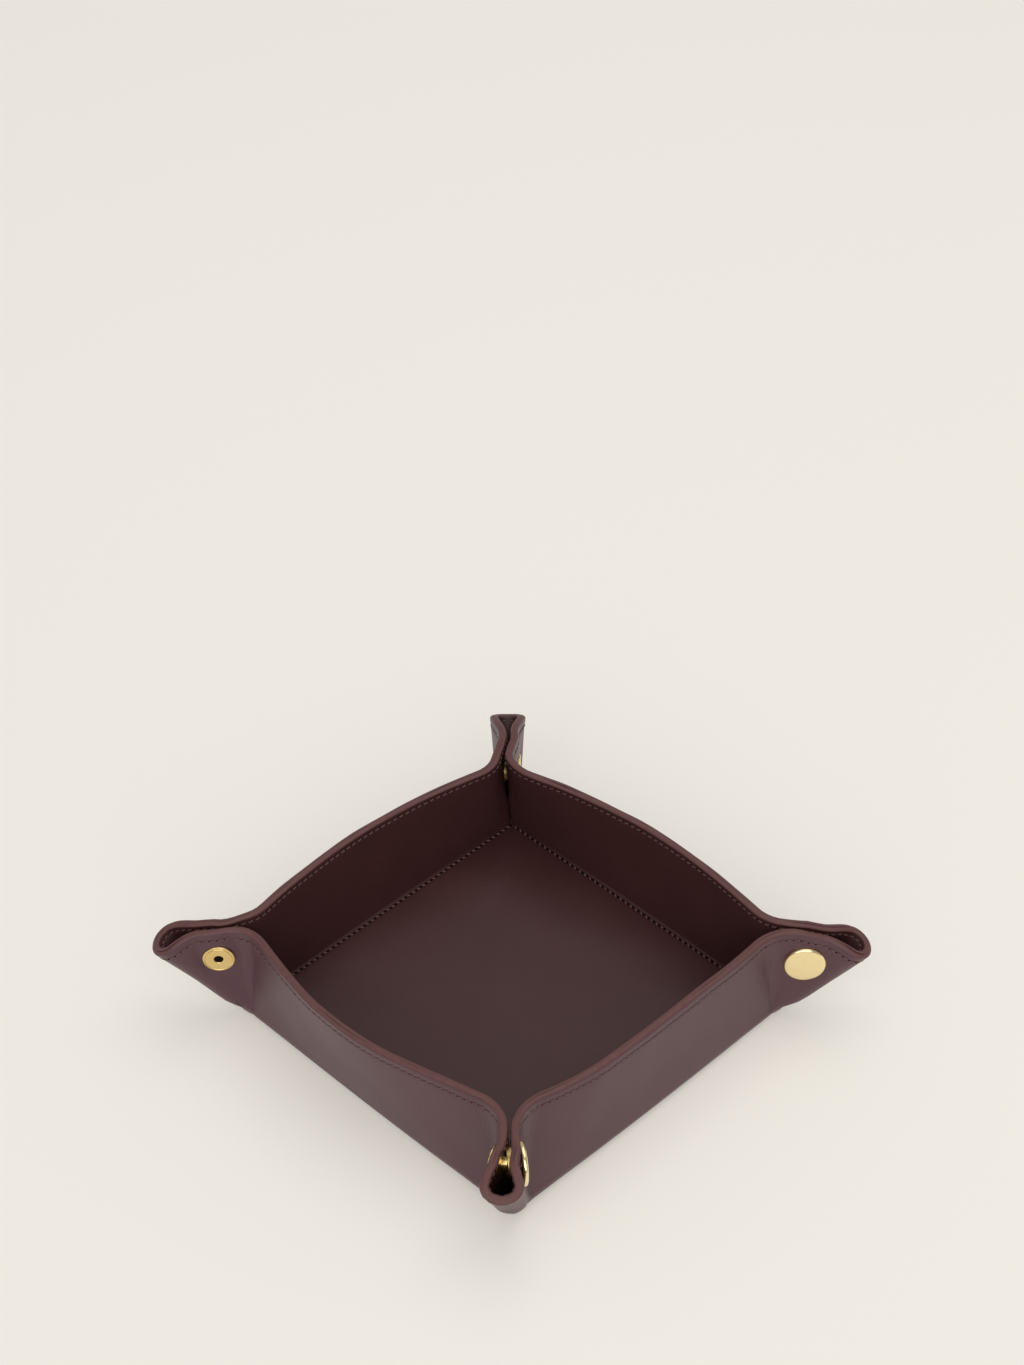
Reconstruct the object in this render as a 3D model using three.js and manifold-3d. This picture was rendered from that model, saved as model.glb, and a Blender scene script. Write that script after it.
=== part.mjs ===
// Folding leather tray: a two-layer leather blank with a stiffened square base, four walls and
// four corners that are pinched into looped ears and held by press studs.
// Millimetres, +Z up. The origin is the middle of the underside of the base.
import * as THREE from 'three';
import { mergeVertices } from 'three/addons/utils/BufferGeometryUtils.js';
import Module from 'manifold-3d';

// Driving dimensions.
const BASE_HALF = 65; // half side of the base, over the outer leather
const LEATHER = 1.35; // thickness of one leather layer
const BOARD = 1; // thickness of the stiffener inside the base
const GAP = 0.3; // clearance between neighbouring pieces
const RIM_Z = 39.3; // height of the rim above the table
const BOW = 4.7; // how far the middle of a wall's rim stands out
const TUCK = 6.1; // how far the ends of a wall's rim are drawn in by the press studs
const EAR_REACH = 43.2; // length of an ear from the base corner to its tip, along the fold
const EAR_RISE = 47.6; // angle of the ear's fold above the table, degrees
const NECK_R = 18; // lining radius where a wall turns into an ear, at the rim
const PINCH = 0.55; // half gap between the linings at the rim's neck
const LOOP_R = 4.1; // lining radius of the loop at the tip of an ear
const CAP_D = 14.5; // diameter of a press stud's cap
const POST_D = 10.9; // diameter of the flange on the back of a stud
const CAP_RISE = 2; // height of the cap's dome
const SNAP_OUT = 10.2; // press stud's distance beyond the inner corner of the base
const SNAP_DROP = 12.2; // press stud's distance below the rim
const SOCKET_H = 2.8; // height of the socket
const FLANGE = 0.7; // thickness of the stud's flange
const KNOB_R = 3; // radius of the stud's knob
const SHANK_R = 2.2; // radius of the tubes that hold cap and stud to the leather
const BASE_ROUND = 4.5; // radius of the base's corners in plan
const CREASE = 0.6; // place of the crease along the arc between wall and ear

// Sizes that follow from them.
const WALL_T = 2 * LEATHER + GAP;
const INNER_HALF = BASE_HALF - WALL_T;
const FLOOR_Z = 2 * LEATHER + BOARD + 2 * GAP;
const FOOT_Z = FLOOR_Z + GAP;
const ROOT_Z = LEATHER / 2;
const CORNER = INNER_HALF * Math.SQRT2;
const TIP_Z = ROOT_Z + EAR_REACH * Math.sin(THREE.MathUtils.degToRad(EAR_RISE));
const FOLD_RUN = 1 / Math.tan(THREE.MathUtils.degToRad(EAR_RISE));
const NECK_FOOT = WALL_T + 3 * GAP;
const LOOP_FOOT = 3 * GAP;
const PINCH_FOOT = LOOP_FOOT + 4 * GAP;
const SEAT = (SOCKET_H + FLANGE + 3 * GAP) / 2;
const SEAT_FLAT = CAP_D / 2 + 5 * GAP;
const SEAT_FADE = CAP_D / 3;
const SNAP_U = CORNER + SNAP_OUT;
const SNAP_Z = RIM_Z - SNAP_DROP;
const HALF_CUT = GAP / 2;
const CREASE_CUT = 1.5 * GAP;

const { lerp, smoothstep } = THREE.MathUtils;
const QUARTER = Math.PI / 4;

const wasm = await Module();
wasm.setup();

function leather(color) {
  return new THREE.MeshStandardMaterial({ color, roughness: 0.55, metalness: 0 });
}

function brass(color, roughness) {
  return new THREE.MeshStandardMaterial({ color, roughness, metalness: 1 });
}

// Plan of the lining face at height z, for the half of a wall that ends at a +X corner. The wall is a
// shallow arc, the neck an arc the other way, then a straight flank and a loop that ends on the diagonal.
function plan(z) {
  const k = z / RIM_Z;
  const bow = lerp(GAP, BOW, k);
  const wallR = INNER_HALF ** 2 / (2 * (bow + TUCK * k));
  const wallY = INNER_HALF + bow - wallR;
  const neckR = lerp(NECK_FOOT, NECK_R, k);
  const side = lerp(PINCH_FOOT, PINCH, k) + neckR;
  const half = Math.SQRT1_2 * wallY;
  const rest = side ** 2 - 2 * half * side + wallY ** 2 - (wallR + neckR) ** 2;
  const neckU = half + Math.sqrt(half ** 2 - rest);
  const neck = [(neckU - side) * Math.SQRT1_2, (neckU + side) * Math.SQRT1_2];
  const loopR = lerp(LOOP_FOOT, LOOP_R, z / TIP_Z);
  const loopU = CORNER + (z - ROOT_Z) * FOLD_RUN - loopR;
  const loopV = lerp(2 * GAP, HALF_CUT, z / TIP_Z);
  const loop = [(loopU - loopV) * Math.SQRT1_2, (loopU + loopV) * Math.SQRT1_2];
  const apart = Math.hypot(loopU - neckU, side - loopV);
  const lean = Math.asin(Math.min(1, (neckR + loopR) / apart));
  const heading = QUARTER + Math.atan2(loopV - side, loopU - neckU) + lean;
  const start = -Math.atan2(neck[0], neck[1] - wallY);
  return { wallR, wallY, neckR, neck, loopR, loop, heading, start };
}

// A point of a run of that plan: run names the run, f is the fraction along it, and shift is an extra
// length, measured on the tighter face, that keeps the cut between two pieces open.
function planPoint({ run, f, shift = 0 }, z) {
  const p = plan(z);
  if (run === 'wall') {
    const a = -p.start * f;
    return [p.wallR * Math.sin(a), p.wallY + p.wallR * Math.cos(a)];
  }
  if (run === 'neck') {
    const a = lerp(p.start, p.heading, f) + shift / (p.neckR - WALL_T);
    return [p.neck[0] + p.neckR * Math.sin(a), p.neck[1] - p.neckR * Math.cos(a)];
  }
  if (run === 'loop') {
    const a = lerp(p.heading, -QUARTER, f) - shift / p.loopR;
    return [p.loop[0] - p.loopR * Math.sin(a), p.loop[1] + p.loopR * Math.cos(a)];
  }
  const s = Math.sin(p.heading);
  const c = Math.cos(p.heading);
  return [
    lerp(p.neck[0] + p.neckR * s, p.loop[0] - p.loopR * s, f),
    lerp(p.neck[1] - p.neckR * c, p.loop[1] + p.loopR * c, f),
  ];
}

// Lining face in space. Round the press stud the leather lies flat, parallel to the diagonal plane.
function lining(station, z) {
  const [x, y] = planPoint(station, z);
  const u = (x + y) * Math.SQRT1_2;
  const v = (y - x) * Math.SQRT1_2;
  const r = Math.hypot(u - SNAP_U, z - SNAP_Z);
  const near = 1 - smoothstep(r, SEAT_FLAT, SEAT_FLAT + SEAT_FADE);
  const flat = station.run === 'loop' ? near * (1 - smoothstep(station.f, 0, 1)) : near;
  const w = lerp(v, SEAT, flat);
  return new THREE.Vector3((u - w) * Math.SQRT1_2, (u + w) * Math.SQRT1_2, z);
}

// Height of the rim: level along the walls, and a set reach from the foot of the crease on the ears.
function rimZ(station) {
  if (station.ear === undefined) return RIM_Z;
  const reach = lerp(RIM_Z - ROOT_Z, EAR_REACH, smoothstep(station.ear, 0, 1));
  let low = FOOT_Z;
  let high = RIM_Z;
  for (let i = 0; i < 40; i += 1) {
    const z = (low + high) / 2;
    const [x, y] = planPoint(station, z);
    const [cx, cy] = planPoint({ run: 'neck', f: CREASE }, z);
    if (Math.hypot(x - cx, y - cy, z - ROOT_Z) < reach) low = z;
    else high = z;
  }
  return (low + high) / 2;
}

// A point at fraction t of the height and at depth d behind the lining face.
function sheetPoint(station, t, d) {
  const z = lerp(FOOT_Z, rimZ(station), t);
  const e = 0.01;
  const along = lining({ ...station, f: station.f + e }, z).sub(lining({ ...station, f: station.f - e }, z));
  const up = lining(station, z + e).sub(lining(station, z - e));
  const point = lining(station, z).addScaledVector(up.cross(along).normalize(), d);
  if (station.mirror) point.x = -point.x;
  return point;
}

function closedGeometry(points, quads) {
  const geometry = new THREE.BufferGeometry().setFromPoints(points);
  const index = [];
  for (const [a, b, c, d] of quads) index.push(a, b, c, a, c, d);
  geometry.setIndex(index);
  return geometry;
}

// One leather layer between two depths, over a list of stations and a list of height fractions.
function leatherSheet(stations, rows, near, far) {
  const points = [];
  for (const d of [near, far]) {
    for (const s of stations) {
      for (const t of rows) points.push(sheetPoint(s, t, d));
    }
  }
  const n = rows.length;
  const half = stations.length * n;
  const at = (side, i, j) => side * half + i * n + j;
  const quads = [];
  for (let i = 0; i + 1 < stations.length; i += 1) {
    for (let j = 0; j + 1 < n; j += 1) {
      quads.push([at(0, i, j), at(0, i + 1, j), at(0, i + 1, j + 1), at(0, i, j + 1)]);
      quads.push([at(1, i, j), at(1, i, j + 1), at(1, i + 1, j + 1), at(1, i + 1, j)]);
    }
    quads.push([at(0, i, 0), at(1, i, 0), at(1, i + 1, 0), at(0, i + 1, 0)]);
    quads.push([at(0, i, n - 1), at(0, i + 1, n - 1), at(1, i + 1, n - 1), at(1, i, n - 1)]);
  }
  const last = stations.length - 1;
  for (let j = 0; j + 1 < n; j += 1) {
    quads.push([at(0, 0, j), at(0, 0, j + 1), at(1, 0, j + 1), at(1, 0, j)]);
    quads.push([at(0, last, j), at(1, last, j), at(1, last, j + 1), at(0, last, j + 1)]);
  }
  return closedGeometry(points, quads);
}

function flip(geometry) {
  const index = geometry.index.array;
  for (let i = 0; i < index.length; i += 3) [index[i], index[i + 1]] = [index[i + 1], index[i]];
  return geometry;
}

// Stations from a list of fractions along one run. ear gives the place along the ear, for its rim.
function runStations(run, fractions, ear) {
  return fractions.map((f) => ({ run, f, ear: ear ? ear(f) : undefined }));
}

function steps(count, from = 0, to = 1) {
  return Array.from({ length: count + 1 }, (_, i) => lerp(from, to, i / count));
}

const NECK_SHARE = 0.08;
const FLANK_SHARE = 0.64;
const flankEar = (f) => lerp(NECK_SHARE, NECK_SHARE + FLANK_SHARE, f);
const loopEar = (f) => lerp(NECK_SHARE + FLANK_SHARE, 1, f);

const wallEnd = [
  ...runStations('wall', [0.3, 0.6, 0.85, 1]),
  ...runStations('neck', [CREASE / 2]),
  { run: 'neck', f: CREASE, shift: -CREASE_CUT },
];
const wallStations = [
  ...wallEnd.toReversed().map((s) => ({ ...s, mirror: true })),
  { run: 'wall', f: 0 },
  ...wallEnd,
];
const flankStations = [
  { run: 'neck', f: CREASE, shift: CREASE_CUT, ear: 0 },
  ...runStations('flank', steps(5), flankEar),
  ...runStations('loop', [0.25], loopEar),
  { run: 'loop', f: 0.5, shift: -GAP, ear: loopEar(0.5) },
];
const tipStations = [
  { run: 'loop', f: 0.5, shift: GAP, ear: loopEar(0.5) },
  ...runStations('loop', [0.67, 0.84, 1], loopEar),
];

function solid(geometry) {
  const bare = geometry.index ? geometry.clone() : geometry;
  bare.deleteAttribute('normal');
  bare.deleteAttribute('uv');
  const merged = mergeVertices(bare, 1e-4);
  const vertProperties = new Float32Array(merged.getAttribute('position').array);
  const triVerts = new Uint32Array(merged.index.array);
  return new wasm.Manifold(new wasm.Mesh({ numProp: 3, vertProperties, triVerts }));
}

function cut(geometry, tool) {
  const mesh = solid(geometry).subtract(solid(tool)).getMesh();
  const result = new THREE.BufferGeometry();
  result.setAttribute('position', new THREE.Float32BufferAttribute(mesh.vertProperties, 3));
  result.setIndex(Array.from(mesh.triVerts));
  return result;
}

// The frame of a press stud in the half wall: its Y axis is square to the diagonal plane and points to
// the wall's own side, and its origin lies on that plane.
const snapFrame = new THREE.Matrix4().makeBasis(
  new THREE.Vector3(0, 0, 1),
  new THREE.Vector3(-Math.SQRT1_2, Math.SQRT1_2, 0),
  new THREE.Vector3(-Math.SQRT1_2, -Math.SQRT1_2, 0),
);
snapFrame.setPosition(SNAP_U * Math.SQRT1_2, SNAP_U * Math.SQRT1_2, SNAP_Z);

function turned(profile, segments) {
  const points = profile.map(([r, h]) => new THREE.Vector2(r, h));
  return mergeVertices(bareGeometry(new THREE.LatheGeometry(points, segments)), 1e-4);
}

function bareGeometry(geometry) {
  geometry.deleteAttribute('normal');
  geometry.deleteAttribute('uv');
  return geometry;
}

const OUTSIDE = SEAT + WALL_T + GAP;
const WEB = 2 * GAP;
const SOCKET_TOP = SEAT - GAP;
const SOCKET_END = SOCKET_TOP - SOCKET_H;
const STUD_END = SEAT - GAP - FLANGE;
const KNOB_END = -(SOCKET_TOP - WEB - GAP);
const SOCKET_R = CAP_D * 0.42;
const STUD_R = POST_D / 2 - GAP;
const MOUTH_R = KNOB_R + GAP;
const BORE_R = SHANK_R + GAP;

const holePunch = new THREE.CylinderGeometry(BORE_R, BORE_R, 3 * WALL_T, 20);
holePunch.translate(0, SEAT + WALL_T / 2, 0).applyMatrix4(snapFrame);

// Domed cap with the tube that passes through the leather into the socket.
function capGeometry() {
  const r = CAP_D / 2;
  return turned(
    [
      [0, SOCKET_TOP - WEB],
      [SHANK_R, SOCKET_TOP - WEB],
      [SHANK_R, OUTSIDE],
      [r - GAP, OUTSIDE],
      [r, OUTSIDE + GAP],
      [r, OUTSIDE + CAP_RISE * 0.3],
      [r * 0.9, OUTSIDE + CAP_RISE * 0.62],
      [r * 0.6, OUTSIDE + CAP_RISE * 0.9],
      [0, OUTSIDE + CAP_RISE],
    ],
    18,
  );
}

// Socket: a ring with a web that the cap's tube passes through, and a mouth for the knob.
function socketGeometry() {
  return turned(
    [
      [BORE_R, SOCKET_TOP - WEB],
      [MOUTH_R, SOCKET_TOP - WEB],
      [MOUTH_R, SOCKET_END],
      [SOCKET_R * 0.8, SOCKET_END],
      [SOCKET_R * 0.86, SOCKET_TOP - WEB],
      [SOCKET_R, SOCKET_TOP - GAP],
      [SOCKET_R, SOCKET_TOP],
      [BORE_R, SOCKET_TOP],
      [BORE_R, SOCKET_TOP - WEB],
    ],
    14,
  );
}

// Stud: a flange with a hollow knob that stands through the diagonal plane into the socket.
function studGeometry() {
  return turned(
    [
      [0, KNOB_END],
      [KNOB_R * 0.8, KNOB_END],
      [KNOB_R, KNOB_END + 2 * GAP],
      [KNOB_R * 0.93, STUD_END],
      [STUD_R, STUD_END],
      [STUD_R, SEAT - GAP],
      [BORE_R, SEAT - GAP],
      [BORE_R, KNOB_END + 3 * GAP],
      [0, KNOB_END + 3 * GAP],
    ],
    14,
  );
}

// Post: a ringed flange with a blind hole, on a tube that passes through the leather into the stud.
function postGeometry() {
  const r = POST_D / 2;
  const eye = SHANK_R * 0.68;
  return turned(
    [
      [0, KNOB_END + 4 * GAP],
      [SHANK_R, KNOB_END + 4 * GAP],
      [SHANK_R, OUTSIDE],
      [r, OUTSIDE],
      [r, OUTSIDE + GAP],
      [r * 0.86, OUTSIDE + 3 * GAP],
      [r * 0.7, OUTSIDE + 2.4 * GAP],
      [r * 0.5, OUTSIDE + 3 * GAP],
      [eye, OUTSIDE + GAP],
      [eye, SEAT],
      [0, SEAT],
    ],
    18,
  );
}

// A plate with a rounded square outline. profile lists inset and height, from the middle of the
// underside to the middle of the top.
function plate(profile) {
  const arc = 4;
  const points = [];
  for (const [inset, z] of profile) {
    const half = BASE_HALF - inset;
    const round = Math.max(BASE_ROUND - inset, GAP);
    for (let i = 0; i < 4; i += 1) {
      for (const a of steps(arc, i * 2 * QUARTER, (i + 1) * 2 * QUARTER)) {
        const sx = i === 0 || i === 3 ? 1 : -1;
        const sy = i < 2 ? 1 : -1;
        const x = sx * (half - round) + round * Math.cos(a);
        const y = sy * (half - round) + round * Math.sin(a);
        points.push(new THREE.Vector3(x, y, z));
      }
    }
  }
  const n = 4 * (arc + 1);
  const quads = [];
  for (let j = 0; j + 1 < profile.length; j += 1) {
    for (let i = 0; i < n; i += 1) {
      const k = (i + 1) % n;
      quads.push([j * n + i, j * n + k, (j + 1) * n + k, (j + 1) * n + i]);
    }
  }
  const top = profile.length - 1;
  const geometry = closedGeometry(points, quads);
  const index = Array.from(geometry.index.array);
  for (let i = 1; i + 1 < n; i += 1) {
    index.push(0, i + 1, i);
    index.push(top * n, top * n + i, top * n + i + 1);
  }
  geometry.setIndex(index);
  return geometry;
}

const group = new THREE.Group();

function add(parent, name, geometry, material) {
  geometry.computeVertexNormals();
  const mesh = new THREE.Mesh(geometry, material);
  mesh.name = name;
  parent.add(mesh);
}

const OUTER = 0x5a4548;
const LINING = 0x3c2728;
const GOLD = 0xe9cf98;
const BRASS = 0xb99a62;

const outerIn = LEATHER + GAP;
const lipIn = WALL_T - LEATHER / 2;
const lipZ = FLOOR_Z - LEATHER - GAP;
const boardIn = lipIn + GAP + LEATHER;

add(
  group,
  'base_outer',
  plate([
    [LEATHER, 0],
    [LEATHER / 4, LEATHER / 3],
    [0, LEATHER],
    [GAP, lipZ],
    [lipIn, lipZ],
    [lipIn, LEATHER],
  ]),
  leather(OUTER),
);
add(
  group,
  'base_board',
  plate([
    [boardIn, LEATHER + GAP],
    [boardIn, LEATHER + GAP + BOARD],
  ]),
  new THREE.MeshStandardMaterial({ color: 0x6b5a4c, roughness: 0.9, metalness: 0 }),
);
add(
  group,
  'base_lining',
  plate([
    [lipIn + GAP, FLOOR_Z - LEATHER],
    [lipIn + GAP, FLOOR_Z - LEATHER / 2],
    [lipIn + LEATHER / 2, FLOOR_Z],
  ]),
  leather(LINING),
);

const wallRows = steps(4);
const flankRows = [0, 0.18, 0.36, 0.52, 0.68, 0.84, 1];
const tipRows = steps(5);
const layers = [
  ['outer', outerIn, WALL_T, OUTER],
  ['lining', 0, LEATHER, LINING],
];

// The four walls by the turn from the +Y wall. ends names the corner at the +X end of the wall's own
// frame and the one at its mirrored end. Two facing walls carry caps, the other two carry studs.
const walls = [
  { name: 'n', turn: 0, ends: ['ne', 'nw'], capped: true },
  { name: 'w', turn: 90, ends: ['nw', 'sw'], capped: false },
  { name: 's', turn: 180, ends: ['sw', 'se'], capped: true },
  { name: 'e', turn: 270, ends: ['se', 'ne'], capped: false },
];

for (const { name, turn, ends, capped } of walls) {
  const side = new THREE.Group();
  side.rotation.z = THREE.MathUtils.degToRad(turn);
  group.add(side);
  for (const [layer, near, far, color] of layers) {
    add(side, `wall_${name}_${layer}`, leatherSheet(wallStations, wallRows, near, far), leather(color));
    ends.forEach((corner, mirrored) => {
      const place = (geometry) => (mirrored ? flip(geometry.scale(-1, 1, 1)) : geometry);
      const flank = cut(leatherSheet(flankStations, flankRows, near, far), holePunch);
      add(side, `flank_${corner}_${name}_${layer}`, place(flank), leather(color));
      const tip = leatherSheet(tipStations, tipRows, near, far);
      add(side, `tip_${corner}_${name}_${layer}`, place(tip), leather(color));
    });
  }
  ends.forEach((corner, mirrored) => {
    const place = (geometry) => {
      geometry.applyMatrix4(snapFrame);
      return mirrored ? flip(geometry.scale(-1, 1, 1)) : geometry;
    };
    if (capped) {
      add(side, `snap_${corner}_cap`, place(capGeometry()), brass(GOLD, 0.2));
      add(side, `snap_${corner}_socket`, place(socketGeometry()), brass(BRASS, 0.35));
    } else {
      add(side, `snap_${corner}_stud`, place(studGeometry()), brass(BRASS, 0.35));
      add(side, `snap_${corner}_post`, place(postGeometry()), brass(BRASS, 0.3));
    }
  });
}

export default group;
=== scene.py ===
import math
from collections import namedtuple

import bpy
import numpy as np
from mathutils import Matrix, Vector


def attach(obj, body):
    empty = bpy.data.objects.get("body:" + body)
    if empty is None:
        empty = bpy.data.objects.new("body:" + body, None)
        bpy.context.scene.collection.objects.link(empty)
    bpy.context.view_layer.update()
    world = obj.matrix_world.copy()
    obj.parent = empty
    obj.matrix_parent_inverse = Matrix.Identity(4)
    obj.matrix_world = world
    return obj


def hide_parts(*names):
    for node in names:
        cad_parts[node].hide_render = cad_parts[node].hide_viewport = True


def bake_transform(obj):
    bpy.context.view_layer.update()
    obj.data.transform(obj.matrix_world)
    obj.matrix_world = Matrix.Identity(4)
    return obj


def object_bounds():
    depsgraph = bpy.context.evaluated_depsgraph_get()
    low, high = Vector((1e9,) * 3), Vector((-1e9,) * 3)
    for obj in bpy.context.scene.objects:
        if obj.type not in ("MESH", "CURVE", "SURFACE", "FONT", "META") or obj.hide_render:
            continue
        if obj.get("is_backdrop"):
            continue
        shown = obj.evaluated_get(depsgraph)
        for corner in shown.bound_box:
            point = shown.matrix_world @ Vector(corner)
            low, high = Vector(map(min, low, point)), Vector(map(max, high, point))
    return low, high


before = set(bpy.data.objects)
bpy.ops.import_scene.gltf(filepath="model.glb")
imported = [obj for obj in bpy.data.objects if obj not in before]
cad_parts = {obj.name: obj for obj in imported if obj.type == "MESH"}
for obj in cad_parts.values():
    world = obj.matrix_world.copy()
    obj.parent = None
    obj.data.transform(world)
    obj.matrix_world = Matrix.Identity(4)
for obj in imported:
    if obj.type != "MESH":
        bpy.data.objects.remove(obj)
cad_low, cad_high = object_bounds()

MM = 0.001
ROOT2 = math.sqrt(2)

# The part's driving sizes, in millimetres, and shares along the ear, as the solids have them.
BASE_HALF = 65
LEATHER = 1.35
BOARD = 1
GAP = 0.3
RIM_Z = 39.3
BOW = 4.7
TUCK = 6.1
EAR_REACH = 43.2
EAR_RISE = math.radians(47.6)
NECK_R = 18
PINCH = 0.3
LOOP_R = 4.1
CAP_D = 14.5
POST_D = 10.9
SNAP_OUT = 10.2
SNAP_DROP = 12.2
SOCKET_H = 2.8
FLANGE = 0.7
KNOB_R = 3
CREASE = 0.6
NECK_SHARE = 0.08
FLANK_SHARE = 0.64

# Sizes and places that follow from them.
WALL_T = 2 * LEATHER + GAP
HALF_T = WALL_T / 2
INNER_HALF = BASE_HALF - WALL_T
FLOOR_Z = 2 * LEATHER + BOARD + 2 * GAP
FOOT_Z = FLOOR_Z + GAP
ROOT_Z = LEATHER / 2
CORNER_U = INNER_HALF * ROOT2
TIP_Z = ROOT_Z + EAR_REACH * math.sin(EAR_RISE)
FOLD_RUN = 1 / math.tan(EAR_RISE)
NECK_FOOT = WALL_T + 3 * GAP
LOOP_FOOT = 3 * GAP
PINCH_FOOT = LOOP_FOOT + 4 * GAP
SEAT = (SOCKET_H + FLANGE + 3 * GAP) / 2
SNAP_U = CORNER_U + SNAP_OUT
SNAP_Z = RIM_Z - SNAP_DROP

# What differs from corner to corner in the tray of the photo, in millimetres: how far the studs draw the
# rim in, how far the stud sits out along the diagonal and up from its drawn place, the loop's radius, half
# the gap that the stud keeps between the two linings, how much that gap opens per millimetre outwards, and
# how quickly the loop narrows on its way down.
Corner = namedtuple("Corner", "tuck stud_out stud_up loop_r half_gap opening taper")
CORNERS = {
    "ne": Corner(5.0, -3.0, -3.0, 3.3, 0.8, 0.0, 2.2),
    "nw": Corner(0.9, -0.5, 0.6, LOOP_R, 1.2, 0.0, 1.0),
    "sw": Corner(TUCK, 0.0, 3.6, 3.8, 1.4, 0.25, 1.0),
    "se": Corner(1.6, -0.7, -1.0, LOOP_R, 1.2, 0.0, 1.0),
}
DRAWN = Corner(TUCK, 0.0, 0.0, LOOP_R, 1.2, 0.0, 1.0)

# The sides of the tray: how far each is turned from wall n, its two corners, and whether it carries caps.
Side = namedtuple("Side", "name degrees low high capped")
SIDES = [
    Side("n", 0, "nw", "ne", True),
    Side("w", 90, "sw", "nw", False),
    Side("s", 180, "se", "sw", True),
    Side("e", 270, "ne", "se", False),
]
CORNER_WAY = {"ne": (1, 1), "nw": (-1, 1), "sw": (-1, -1), "se": (1, -1)}
WALL_WAY = {"n": (0, 1), "w": (-1, 0), "s": (0, -1), "e": (1, 0)}

# Soft shape of the ears, which only the looks have. A pair says where a change begins and where it ends.
NECK_SWELL = 1.4
FLANK_HOLD = 0.97
FLANK_GAP = 0.15
HOLD_Z = (8.0, 30.0)
DROP_FROM = 0.28
DENT_R = 4.4
DENT_FADE = 5.8
CREASE_V = 0.15
CREASE_IN = (83.5, 87.5)
CREASE_OUT = (92.0, 99.0)
CREASE_Z = (14.0, 30.0)
STUD_CLEAR = (6.5, 9.0)
FOLD_T = 2.5
PARE_Z = (1.0, 14.0)

# The sewn, painted rim.
CROWN = 1.15
RIM_ROUND = 0.8
STITCH_IN = {"outer": 3.4, "lining": 2.45}
GROOVE = 0.16
GROOVE_W = 0.55
STITCH_PITCH = 2.6
STITCH_SHARE = 0.74
STITCH_TILT = 0.16
THREAD_R = 0.31
HOLE_R = 0.28

# The foot: the outer layer turns under the base, and the lining tucks into the seam round the floor.
LOW_Z = 4.3
UNDER_Y = 59
UNDER_X = UNDER_Y - 0.6
UNDER_ROUND = 3.0
TURN_PULL = 0.95
TURN_MIN_Z = 0.05
TABLE_GAP = 0.02
WALL_FOOT = 0.14
EAR_FOOT = 0.5
EAR_FOOT_BY = 0.6
FOOT_ROUND = 2.6
SQUARE_Z = (1.5, 8.0)
FOOT_SKIVE = 0.5
TUCKED = ((0.85, 0.95), (0.32, 0.5))
TUCKED_BY = 0.25
GLUE = 0.03

# The floor and the seam round it.
FLOOR_HALF = INNER_HALF + 0.35
FLOOR_CROWN = 0.12
FLOOR_EDGE_DROP = 0.9
FLOOR_EDGE_W = 0.4
FLOOR_EDGE_POWER = 1.5
FLOOR_SAG = 0.10
FLOOR_SAG_W = 3.5
FLOOR_WAVE = 0.5
FLOOR_WAVE_SCALE = 0.7
FLOOR_WAVE_IN = 8
FLOOR_UNDERCUT = 0.995
SEAM_IN = 1.35
SEAM_SINK = 0.22
SEAM_SINK_W = 0.6
SEAM_PITCH = 2.5
SEAM_SHARE = 0.6
SEAM_TILT = -0.5
SEAM_HOLE = 0.46
SEAM_END = 0.6
SEAM_LIFT = 0.02
SEAM_LEAN = 0.15

# How deep the outer pieces of a press stud sit in the leather.
CAP_SUNK = 0.45
POST_SUNK = 0.1

# Where the grain is taken from the noise, so that the sides, the floor and the underside don't repeat.
GRAIN_STEP = 0.37
FLOOR_GRAIN = 3.1
UNDER_GRAIN = 5.3

# The step for a tangent, the halvings of a search, and a guard against a sign of zero.
NUDGE = 0.01
HALVINGS = 40
TINY = 1e-12


def mix(a, b, k):
    return a + (b - a) * k


def smooth(x, low=0.0, high=1.0):
    t = np.clip((x - low) / (high - low), 0, 1)
    return t * t * (3 - 2 * t)


def unit(a):
    return a / np.linalg.norm(a, axis=-1, keepdims=True)


def fractions(count):
    return [i / count for i in range(count + 1)]


def to_diagonal(x, y):
    """Distances along and across the diagonal of the +X +Y corner."""
    return (x + y) / ROOT2, (y - x) / ROOT2


def from_diagonal(u, v, z):
    return np.stack([(u - v) / ROOT2, (u + v) / ROOT2, z + 0 * u], axis=-1)


def turn_z(points, degrees):
    a = math.radians(degrees)
    c, s = round(math.cos(a), 12), round(math.sin(a), 12)
    out = np.array(points, float)
    out[..., 0] = points[..., 0] * c - points[..., 1] * s
    out[..., 1] = points[..., 0] * s + points[..., 1] * c
    return out


def mirrored(points):
    return points * np.array([-1.0, 1.0, 1.0])


def to_m(point):
    return tuple(float(x) * MM for x in point)


# The horizontal section of half a wall is four runs, each followed from 0 to 1.
WALL, NECK, FLANK, LOOP = range(4)


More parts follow.
